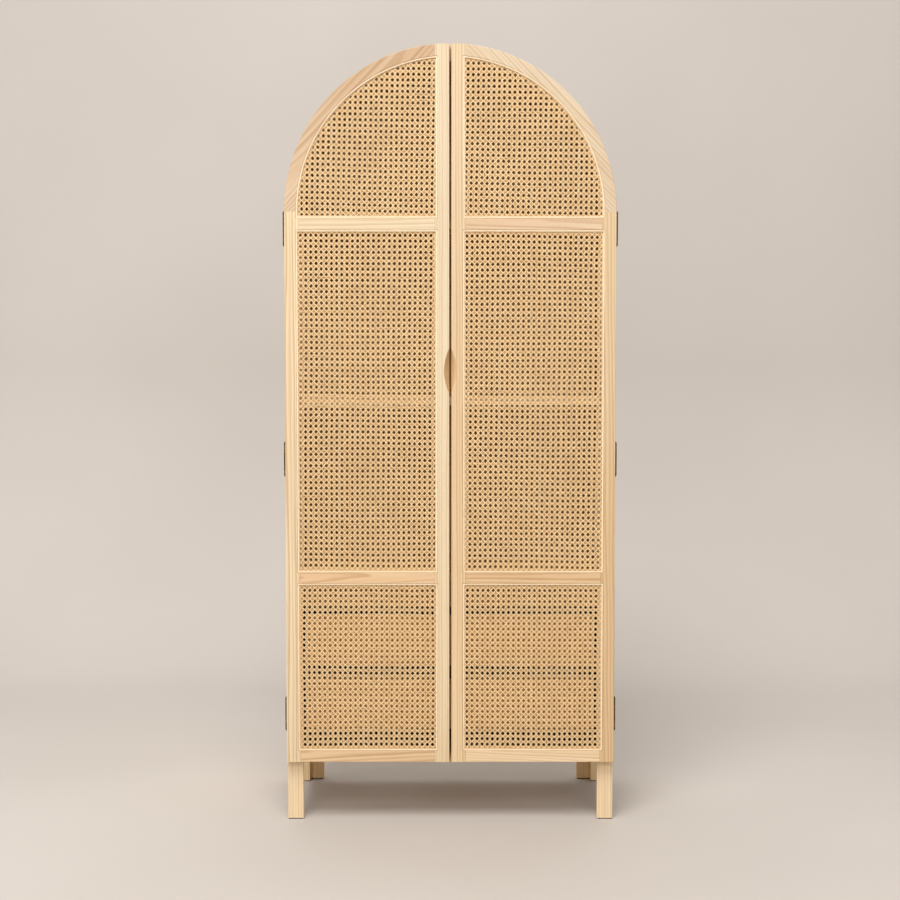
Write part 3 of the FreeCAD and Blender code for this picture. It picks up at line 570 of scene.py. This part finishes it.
def weave(name, first_hole, turn, face, low, high, centre, radius):
    """One panel of webbing in the plane y = face, as a mesh with a strand attribute. The web is
    pressed in a little out of level, turned clockwise about its first hole."""
    rolls = random.Random(name)
    spots, faces, marks = [], [], []
    level = Vector((math.cos(turn), -math.sin(turn)))
    upright = Vector((math.sin(turn), math.cos(turn)))
    next_column = level * column_step
    next_row = upright * row_step
    knot = Vector(first_hole) + (next_column + next_row) / 2
    stretches = [
        (rolls.uniform(*stretch_paces), rolls.uniform(*stretch_paces), rolls.uniform(*phases))
        for _ in range(4)
    ]

    def pulled(x, z):
        """The whole web is drawn a little out of square, as it is when it is stretched by hand."""
        drift = [stretch_size * math.sin(a * x + b * z + phase) for a, b, phase in stretches]
        return x + drift[0] + drift[1], z + drift[2] + drift[3]

    def lay(start, way, width, height_at, stations, tones, knot_shading):
        """A strand along start + way * t, with stations per unit of t where its height is known.
        It is darkened at the knots of the weave, where whole numbers of t lie, as painted shade,
        and lightened halfway between them as painted highlight."""
        stretch = inside_panel(start, way, low, high, centre, radius)
        if not stretch:
            return
        first, last = stretch
        knots = range(math.floor(first), math.ceil(last) + 1)
        inner = [count + part for count in knots for part in stations]
        inner = [t for t in inner if first + nearest_station < t < last - nearest_station]
        run = [first] + inner + [last]
        length = math.hypot(*way)
        side = (way[1] / length, -way[0] / length)
        tone = rolls.uniform(*tones)
        wobbles = [
            (rolls.uniform(*wobble_sizes), rolls.uniform(*wobble_paces), rolls.uniform(*phases))
            for _ in range(2)
        ]
        width *= rolls.uniform(*width_spread)
        base = len(spots)
        for t in run:
            stray = sum(size * math.sin(t * length * pace + phase) for size, pace, phase in wobbles)
            stray += rolls.uniform(-jitter, jitter)
            x = start[0] + way[0] * t + side[0] * stray
            z = start[1] + way[1] * t + side[1] * stray
            if first < t < last:
                x, z = pulled(x, z)
            y = face - height_at(t)
            # Painted shade at the knots, painted highlight halfway between them.
            shade = tone - knot_shading * math.cos(2 * math.pi * t)
            for across, out in strand_section:
                spots.append((
                    x + side[0] * across * width,
                    y - out * strand_thickness,
                    z + side[1] * across * width,
                ))
                marks.append((t * length, across, shade))
        for ring in range(len(run) - 1):
            a = base + 3 * ring
            faces.extend((a + k, a + (k + 1) % 3, a + 3 + (k + 1) % 3, a + 3 + k) for k in range(3))
        faces.append((base + 2, base + 1, base))
        tip = base + 3 * (len(run) - 1)
        faces.append((tip, tip + 1, tip + 2))

    def over_under(sign):
        """In front of the upright pairs and behind the level ones, or the other way round."""
        def height(t):
            place = (t + 0.25) % 1.0
            return sign * lift if place < 0.5 else -sign * lift
        return height

    def knotted(rise):
        """One strand of an upright pair passes in front of the level pair, the other behind."""
        return lambda t: rise * (1 - 2 * abs(t - math.floor(t + 0.5)))

    def lines_over(start, end, step):
        """Numbers of the pairs that may cross the panel, with some to spare for its turn."""
        return range(math.floor(start / step) - spare_lines, math.ceil(end / step) + spare_lines + 1)

    first = Vector(low) - knot
    last = Vector(high) - knot
    columns = lines_over(first.x, last.x, column_step)
    rows = lines_over(first.y, last.y, row_step)
    pair_stations = (0.0, 0.5)
    for column in columns:
        for sign in (-1, 1):
            start = knot + column * next_column + sign * pair_spread * level
            bend = knotted(sign * lift)
            lay(start, next_row, pair_width, bend, pair_stations, pair_tones, painted_knot_shading)
    for row in rows:
        for sign in (-1, 1):
            start = knot + row * next_row + sign * pair_spread * upright
            lay(start, next_column, pair_width, lambda t: 0.0, pair_stations, pair_tones, painted_knot_shading)
    slant_stations = (plateau, 0.5 - plateau, 0.5 + plateau, 1 - plateau)
    for slant in (-1, 1):
        for line in range(columns[0] - len(rows) - 1, columns[-1] + len(rows) + 2):
            start = knot + line * next_column + next_row / 2
            way = next_column + slant * next_row
            lay(start, way, slant_width, over_under(slant), slant_stations, slant_tones, 0.0)
    mesh = bpy.data.meshes.new(name)
    mesh.from_pydata(spots, [], faces)
    strand = mesh.attributes.new("strand", "FLOAT_VECTOR", "POINT")
    strand.data.foreach_set("vector", [number for mark in marks for number in mark])
    mesh.shade_smooth()
    mesh.set_sharp_from_angle(angle=strand_edge)
    return mesh


def cane_skin():
    """Split rattan: silky straw-coloured skin, fine lines along it, and browner spells. The strand
    attribute holds the way along a strand, the way across it, and its tone, which also carries
    the painted shade and painted highlight of the weave."""
    material, tree, shader = principled("cane_skin")
    brown_skin = (0.46, 0.225, 0.066, 1.0)
    straw_skin = (0.97, 0.705, 0.38, 1.0)
    brown_spell = (0.62, 0.36, 0.14, 1.0)
    dark_line = (0.50, 0.275, 0.10, 1.0)
    spell_stretch = (14.0, 0.0, 70.0)
    line_stretch = (60.0, 9.0, 90.0)
    strand = node(tree, "Attribute", attribute_name="strand").outputs["Vector"]
    spell = clouds(tree, steer(tree, "MULTIPLY", strand, spell_stretch), 1.0)["Fac"]
    lines = clouds(tree, steer(tree, "MULTIPLY", strand, line_stretch), 1.0, roughness=0.6)["Fac"]
    colour = blend(tree, split(tree, strand)["Z"], brown_skin, straw_skin)
    colour = blend(tree, ramp(tree, spell, 0.45, 0.85, top=0.5), colour, brown_spell)
    colour = blend(tree, ramp(tree, lines, 0.5, 0.8, top=0.4), colour, dark_line)
    sheen = ramp(tree, lines, 0.2, 0.8, bottom=0.36, top=0.56)
    finish(tree, shader, colour, sheen, lines, relief=0.25, depth=0.0002)
    return material


cane = cane_skin()
spring_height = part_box("left_hinge_stile")[1].z
for panel, first_hole in first_holes.items():
    side, level = panel.split("_")
    low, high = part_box(f"{panel}_cane")
    disc = max(abs(low.x), abs(high.x)) if level == "upper" else None
    mesh = weave(
        f"{panel}_webbing", first_hole, web_turns[panel], (low.y + high.y) / 2,
        (low.x, low.z), (high.x, high.z), (0.0, spring_height), disc,
    )
    mesh.materials.append(cane)
    webbing = bpy.data.objects.new(f"{panel}_webbing", mesh)
    bpy.context.collection.objects.link(webbing)
    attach(webbing, f"{side}_door")
    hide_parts(f"{panel}_cane")


# Splines: a soaked reed bead, rounded on top, that is tapped into the rebate over the edge of
# the webbing and glued. It runs round each panel and is mitred at the corners. The parts of it
# that face up are darkened with painted shade, to hold down the highlight from the lamps above.
bead_width = 0.004
bead_section = (
    (-0.5, 0.0), (-0.5, 0.5), (-0.36, 0.84), (-0.14, 1.0),
    (0.18, 1.0), (0.4, 0.9), (0.5, 0.72), (0.5, 0.0),
)
bead_edge = math.radians(50)
arc_steps = 64


def bead_path(side, level):
    """Corners of the bead's middle line on the door's face, with the way out at each corner."""
    low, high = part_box(f"{side}_{level}_spline")
    inset = bead_width / 2
    flip = -1 if side == "left" else 1
    near = min(abs(low.x), abs(high.x)) + inset
    far = max(abs(low.x), abs(high.x)) - inset
    bottom = low.z + inset
    top = high.z - inset
    path = [((near, bottom), (-1, -1)), ((far, bottom), (1, -1))]
    if level == "upper":
        end = math.acos(near / far)
        path.append(((far, spring_height), (1, 0)))
        for count in range(1, arc_steps + 1):
            turn = end * count / arc_steps
            way = (math.cos(turn), math.sin(turn))
            spot = (far * way[0], spring_height + far * way[1])
            if count == arc_steps:
                way = (-1.0, (1 + way[0]) / way[1])
            path.append((spot, way))
    else:
        path += [((far, top), (1, 1)), ((near, top), (-1, 1))]
    return [((flip * x, z), (flip * u, v)) for (x, z), (u, v) in path]


def reed_bead(name, side, level):
    """One closed bead, with its section carried round the path."""
    low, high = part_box(f"{side}_{level}_spline")
    path = bead_path(side, level)
    count = len(bead_section)
    spots = []
    for (x, z), (u, v) in path:
        for across, rise in bead_section:
            spots.append((
                x + u * across * bead_width,
                high.y + (low.y - high.y) * rise,
                z + v * across * bead_width,
            ))
    faces = []
    for ring in range(len(path)):
        a = ring * count
        b = (ring + 1) % len(path) * count
        for k in range(count):
            corner = (a + k, a + (k + 1) % count, b + (k + 1) % count, b + k)
            faces.append(corner if side == "left" else corner[::-1])
    mesh = bpy.data.meshes.new(name)
    mesh.from_pydata(spots, [], faces)
    mesh.shade_smooth()
    mesh.set_sharp_from_angle(angle=bead_edge)
    return mesh


def spline_reed():
    """Pale reed with darker fibres, a slow drift in tone, and painted shade where it faces up."""
    material, tree, shader = principled("spline_reed")
    pale_reed = (0.90, 0.74, 0.515, 1.0)
    warm_reed = (0.86, 0.67, 0.44, 1.0)
    dark_fibre = (0.62, 0.42, 0.22, 1.0)
    top_shade_tint = (0.82, 0.76, 0.66, 1.0)
    fibre_scale = 420.0
    drift_scale = 30.0
    coordinates = node(tree, "TexCoord").outputs
    fibre = clouds(tree, coordinates["Object"], fibre_scale, detail=3.0)["Fac"]
    drift = ramp(tree, clouds(tree, coordinates["Object"], drift_scale)["Fac"], 0.3, 0.7)
    # Painted shade on the faces that look up, where the lamps above put a highlight.
    painted_top_shade = ramp(tree, split(tree, coordinates["Normal"])["Z"], 0.05, 0.6)
    colour = blend(tree, drift, pale_reed, warm_reed)
    colour = blend(tree, ramp(tree, fibre, 0.55, 0.8, top=0.4), colour, dark_fibre)
    colour = blend(tree, painted_top_shade, colour, top_shade_tint, "MULTIPLY")
    sheen = ramp(tree, fibre, 0.2, 0.8, bottom=0.4, top=0.6)
    finish(tree, shader, colour, sheen, fibre, relief=0.3, depth=0.0002)
    return material


reed = spline_reed()
for side in ("left", "right"):
    for level in ("upper", "middle", "lower"):
        mesh = reed_bead(f"{side}_{level}_bead", side, level)
        mesh.materials.append(reed)
        bead = bpy.data.objects.new(f"{side}_{level}_bead", mesh)
        bpy.context.collection.objects.link(bead)
        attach(bead, f"{side}_door")
        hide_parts(f"{side}_{level}_spline")


# Hinges: pressed brass leaves let into the doors and posts, knuckles on a loose pin with
# turned finials, all browned to an antique finish that has rubbed bright in patches.
def make_brass_bloom():
    """Browned brass that has rubbed bright in patches, smoother where it is bright."""
    tree, given, result = new_group(
        "brass_bloom",
        {"Place": "Vector", "Dark": "Color", "Bright": "Color", "Rubbed": "Float"},
        {"Color": "Color", "Roughness": "Float", "Height": "Float"},
    )
    bloom_scale = 120.0
    grit_scale = 1400.0
    bloom = clouds(tree, given["Place"], bloom_scale, detail=4.0, roughness=0.6)["Fac"]
    share = ramp(tree, bloom, 0.42, 0.72, top=given["Rubbed"])
    sheen = ramp(tree, bloom, 0.3, 0.7, bottom=0.5, top=0.3)
    tree.links.new(blend(tree, share, given["Dark"], given["Bright"]), result["Color"])
    tree.links.new(sheen, result["Roughness"])
    tree.links.new(clouds(tree, given["Place"], grit_scale)["Fac"], result["Height"])
    return tree


def antique_brass(name, dark, bright, rubbed):
    material, tree, shader = principled(name)
    shader.inputs["Metallic"].default_value = 1.0
    place = node(tree, "TexCoord").outputs["Object"]
    values = {"Place": place, "Dark": (*dark, 1.0), "Bright": (*bright, 1.0), "Rubbed": rubbed}
    wear(tree, shader, brass_bloom, values, relief=0.12, depth=0.0001)
    return material


brass_bloom = make_brass_bloom()
door_brass = antique_brass(
    "door_leaf_brass", dark=(0.06, 0.03, 0.008), bright=(0.19, 0.108, 0.032), rubbed=0.7,
)
post_brass = antique_brass(
    "post_leaf_brass", dark=(0.08, 0.044, 0.012), bright=(0.27, 0.16, 0.05), rubbed=0.8,
)
screw_brass = antique_brass(
    "screw_brass", dark=(0.10, 0.055, 0.018), bright=(0.30, 0.18, 0.06), rubbed=0.8,
)
pin_brass = antique_brass(
    "pin_brass", dark=(0.03, 0.016, 0.005), bright=(0.10, 0.056, 0.018), rubbed=0.5,
)
dress(door_brass, "left_hinge_door_leaves", "right_hinge_door_leaves")
dress(post_brass, "left_hinge_post_leaves", "right_hinge_post_leaves")
dress(screw_brass, "left_hinge_door_screws", "right_hinge_door_screws", "hinge_post_screws")
dress(pin_brass, "hinge_pins")


# Strike plates: small zinc-plated steel plates on the backs of the doors, which the magnets
# of the catches hold.
def zinc_plating():
    """Plated steel that was brushed from side to side, so that its streaks are finest along Z."""
    material, tree, shader = principled("zinc_plating")
    shader.inputs["Metallic"].default_value = 1.0
    dull_zinc = (0.50, 0.50, 0.49, 1.0)
    bright_zinc = (0.66, 0.66, 0.65, 1.0)
    brush_scale = 300.0
    brush_stretch = (1.0, 1.0, 14.0)
    place = node(tree, "TexCoord").outputs["Object"]
    brushed = steer(tree, "MULTIPLY", place, brush_stretch)
    brushed = clouds(tree, brushed, brush_scale, detail=3.0)["Fac"]
    colour = blend(tree, brushed, dull_zinc, bright_zinc)
    sheen = ramp(tree, brushed, 0.3, 0.7, bottom=0.28, top=0.45)
    finish(tree, shader, colour, sheen, brushed, relief=0.1, depth=0.0001)
    return material


dress(zinc_plating(), "left_strike_plate", "right_strike_plate")


# Studio: a pale seamless paper sweep that curves from floor to wall, large soft boxes in front
# and above, weaker ones at the sides and behind, and a camera in front at chest height. The
# back of the paper is clear, so that views from behind see the wardrobe.
def sweep_mesh():
    """Floor, bend and wall in one strip."""
    half_width = 7.0
    nearest = -7.0
    bend_start = 1.3
    bend_radius = 1.1
    bend_steps = 24
    height = 5.0
    profile = [(nearest, 0.0)]
    for count in range(bend_steps + 1):
        turn = quarter * count / bend_steps
        profile.append((bend_start + bend_radius * math.sin(turn), bend_radius * (1 - math.cos(turn))))
    profile.append((bend_start + bend_radius, height))
    spots = [(x, y, z) for y, z in profile for x in (-half_width, half_width)]
    faces = [(2 * k, 2 * k + 1, 2 * k + 3, 2 * k + 2) for k in range(len(profile) - 1)]
    mesh = bpy.data.meshes.new("studio_sweep")
    mesh.from_pydata(spots, [], faces)
    mesh.shade_smooth()
    return mesh


def sweep_paper():
    """Matt paper on the front, nothing on the back."""
    material, tree, shader = principled("sweep_paper")
    shader.inputs["Roughness"].default_value = 0.85
    shader.inputs["Specular IOR Level"].default_value = 0.2
    pale_paper = (0.55, 0.512, 0.474, 1.0)
    warm_paper = (0.53, 0.489, 0.449, 1.0)
    drift_scale = 0.9
    place = node(tree, "TexCoord").outputs["Object"]
    drift = ramp(tree, clouds(tree, place, drift_scale)["Fac"], 0.3, 0.7)
    colour = blend(tree, drift, pale_paper, warm_paper)
    tree.links.new(colour, shader.inputs["Base Color"])
    back = node(tree, "NewGeometry").outputs["Backfacing"]
    clear = node(tree, "BsdfTransparent").outputs[0]
    sides = node(tree, "MixShader", {0: back, 1: shader.outputs[0], 2: clear})
    tree.links.new(sides.outputs[0], tree.nodes["Material Output"].inputs["Surface"])
    return material


sweep = bpy.data.objects.new("studio_sweep", sweep_mesh())
sweep.data.materials.append(sweep_paper())
bpy.context.collection.objects.link(sweep)


def soft_box(name, place, aim, size, power):
    """A rectangular light that faces a point. Power is in watts."""
    lamp = bpy.data.lights.new(name, "AREA")
    lamp.shape = "RECTANGLE"
    lamp.size, lamp.size_y = size
    lamp.energy = power
    lamp.color = lamp_colour
    light = bpy.data.objects.new(name, lamp)
    light.location = place
    light.rotation_euler = (Vector(aim) - Vector(place)).to_track_quat("-Z", "Y").to_euler()
    bpy.context.collection.objects.link(light)


lamp_colour = (1.0, 0.98, 0.96)
soft_box("key_light", (-0.7, -3.4, 6.0), aim=(0.0, -0.8, 0.3), size=(3.0, 3.0), power=336.0)
soft_box("fill_light", (0.0, -5.8, 3.8), aim=(0.0, 0.0, 0.9), size=(6.0, 2.0), power=146.0)
soft_box("left_light", (-4.5, -1.2, 1.2), aim=(0.0, 0.0, 0.6), size=(2.5, 2.0), power=68.0)
soft_box("right_light", (4.5, -1.5, 1.4), aim=(0.2, 0.0, 0.5), size=(2.5, 2.0), power=38.0)
soft_box("rear_light", (0.0, 1.2, 5.5), aim=(0.0, 0.7, 0.0), size=(3.0, 2.0), power=72.0)
world = bpy.data.worlds.new("studio_air")
bpy.context.scene.world = world
world.use_nodes = True
air = world.node_tree.nodes["Background"].inputs
air["Color"].default_value = (1.0, 0.985, 0.965, 1.0)
air["Strength"].default_value = 0.165

camera_place = (-0.0007, -3.8025, 1.077)
camera_dip = 2.96
camera = bpy.data.cameras.new("front_camera")
camera.lens = 61.04
camera.sensor_width = 36.0
camera.clip_end = 60.0
viewer = bpy.data.objects.new("front_camera", camera)
viewer.location = camera_place
viewer.rotation_euler = (math.radians(90 - camera_dip), 0.0, 0.0)
bpy.context.collection.objects.link(viewer)
bpy.context.scene.camera = viewer
bpy.context.scene.view_settings.view_transform = "Standard"
